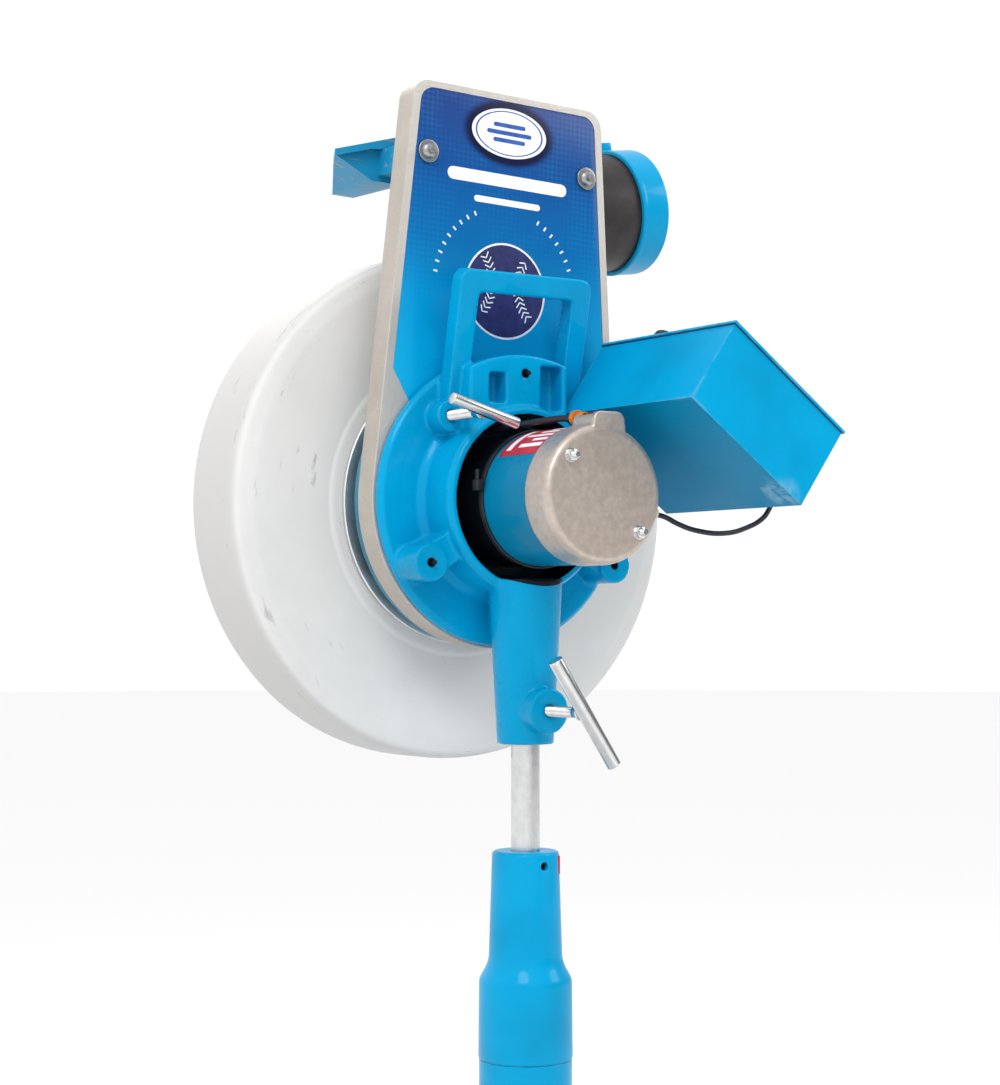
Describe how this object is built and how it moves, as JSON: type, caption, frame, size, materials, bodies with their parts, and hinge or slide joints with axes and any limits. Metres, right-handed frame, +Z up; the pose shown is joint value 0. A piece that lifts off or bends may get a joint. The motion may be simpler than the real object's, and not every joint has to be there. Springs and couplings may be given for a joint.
{
  "type": "baseball pitching machine",
  "caption": "Single-wheel ball pitching machine: a spinning white tyre behind a tilting aluminium plate, motor and control box in front, panning on a mast above a folding tripod.",
  "frame": {"origin": "on the floor, at the centre of the footprint of the three feet", "axes": "+Z up; +Y from the motor side to the wheel side, along the wheel's axle; balls are fed in from +X and leave towards -X"},
  "size_m": [0.7758, 0.887, 1.4839],
  "materials": {
    "blue_enamel": "gloss stove enamel on castings, tube and sheet",
    "shaded_enamel": "thin enamel on the turned ring behind the plate",
    "cast_aluminium": "sand cast, front rim machined bright",
    "die_cast": "die cast, warm grey, tumbled",
    "zinc_plate": "bright zinc plate",
    "steel": "plain steel",
    "white_tyre": "white rubber, matt",
    "black_plastic": "moulded, fine grain",
    "black_rubber": "moulded rubber",
    "orange_plastic": "moulded grommet",
    "cream_plastic": "moulded clip",
    "panel_print": "printed polycarbonate panel, navy to bright blue",
    "copper_winding": "varnished windings on a steel core",
    "ferrite": "ferrite",
    "board": "glass-fibre board with parts"
  },
  "bodies": {
    "stand": {"tripod_neck": "blue_enamel", "mast_set_screw": "steel", "mast_rod": "zinc_plate", "tripod_hub": "blue_enamel", "leg_pin_1": "zinc_plate", "leg_pin_2": "zinc_plate", "leg_pin_3": "zinc_plate"},
    "leg_1": {"leg_1": "blue_enamel", "foot_1": "black_rubber"},
    "leg_2": {"leg_2": "blue_enamel", "foot_2": "black_rubber"},
    "leg_3": {"leg_3": "blue_enamel", "foot_3": "black_rubber"},
    "head": {"head_plate": "cast_aluminium", "front_panel": "panel_print", "panel_screw_1": "zinc_plate", "panel_screw_2": "zinc_plate", "pressure_shoe": "blue_enamel", "pressure_pad": "black_rubber", "chute_tube": "black_plastic", "chute_band": "blue_enamel", "chute_cradle": "blue_enamel"},
    "wheel": {"motor_armature": "copper_winding", "wheel_hub": "steel", "rim_front": "zinc_plate", "rim_rear": "zinc_plate", "tyre": "white_tyre", "wheel_nut": "zinc_plate"},
    "tilt_lock": {"tilt_lock_handle": "zinc_plate"},
    "pan_lock": {"pan_lock_handle": "zinc_plate"},
    "speed_knob": {"speed_knob": "black_plastic"},
    "changeup_knob": {"changeup_knob": "black_plastic"},
    "power_rocker": {"power_rocker": "black_plastic"},
    "swivel": {"swivel_casting": "blue_enamel", "motor_can": "blue_enamel", "control_box": "blue_enamel", "box_lid": "blue_enamel", "rear_clamp_ring": "shaded_enamel", "end_bell": "die_cast", "motor_end_plate": "die_cast", "motor_stud_1": "zinc_plate", "motor_stud_2": "zinc_plate", "box_screw_1": "zinc_plate", "box_screw_2": "zinc_plate", "clamp_screw_1": "steel", "clamp_screw_2": "steel", "clamp_screw_3": "steel", "front_bearing": "steel", "rear_bearing": "steel", "cable_tie": "black_plastic", "switch_bezel": "black_plastic", "power_inlet": "black_plastic", "cable_gland": "black_plastic", "motor_cable": "black_rubber", "motor_leads": "black_rubber", "lead_grommet": "orange_plastic", "motor_cable_clip": "cream_plastic", "magnet_ring": "ferrite", "circuit_board": "board"}
  },
  "joints": [
    {"name": "pan", "type": "hinge", "parent": "stand", "child": "swivel", "pos_m": [-0.12, 0, 1], "axis": [0, 0, 1], "continuous": true},
    {"name": "tilt", "type": "hinge", "parent": "swivel", "child": "head", "pos_m": [-0.12, 0.037, 1.16], "axis": [0, 1, 0], "range_deg": [-14, 26]},
    {"name": "wheel_spin", "type": "hinge", "parent": "swivel", "child": "wheel", "pos_m": [-0.12, 0.037, 1.16], "axis": [0, 1, 0], "continuous": true},
    {"name": "tilt_lock", "type": "hinge", "parent": "swivel", "child": "tilt_lock", "pos_m": [-0.1795, -0.003, 1.223], "axis": [0, -1, 0], "range_deg": [0, 180]},
    {"name": "pan_lock", "type": "hinge", "parent": "swivel", "child": "pan_lock", "pos_m": [-0.12, -0.043, 1], "axis": [0, -1, 0], "range_deg": [0, 180]},
    {"name": "speed_turn", "type": "hinge", "parent": "swivel", "child": "speed_knob", "pos_m": [-0.01256, -0.031, 1.27961], "axis": [0.5878, 0, 0.809], "range_deg": [-270, 0]},
    {"name": "changeup_turn", "type": "hinge", "parent": "swivel", "child": "changeup_knob", "pos_m": [0.02465, -0.031, 1.25258], "axis": [0.5878, 0, 0.809], "range_deg": [-270, 0]},
    {"name": "power_rock", "type": "hinge", "parent": "swivel", "child": "power_rocker", "pos_m": [0.04705, -0.031, 1.22555], "axis": [0.809, 0, -0.5878], "range_deg": [0, 14]},
    {"name": "leg_1_fold", "type": "hinge", "parent": "stand", "child": "leg_1", "pos_m": [-0.058, 0, 0.56], "axis": [0, 1, 0], "range_deg": [0, 36]},
    {"name": "leg_2_fold", "type": "hinge", "parent": "stand", "child": "leg_2", "pos_m": [-0.151, 0.05369, 0.56], "axis": [-0.866, -0.5, 0], "range_deg": [0, 36]},
    {"name": "leg_3_fold", "type": "hinge", "parent": "stand", "child": "leg_3", "pos_m": [-0.151, -0.05369, 0.56], "axis": [0.866, -0.5, 0], "range_deg": [0, 36]}
  ]
}
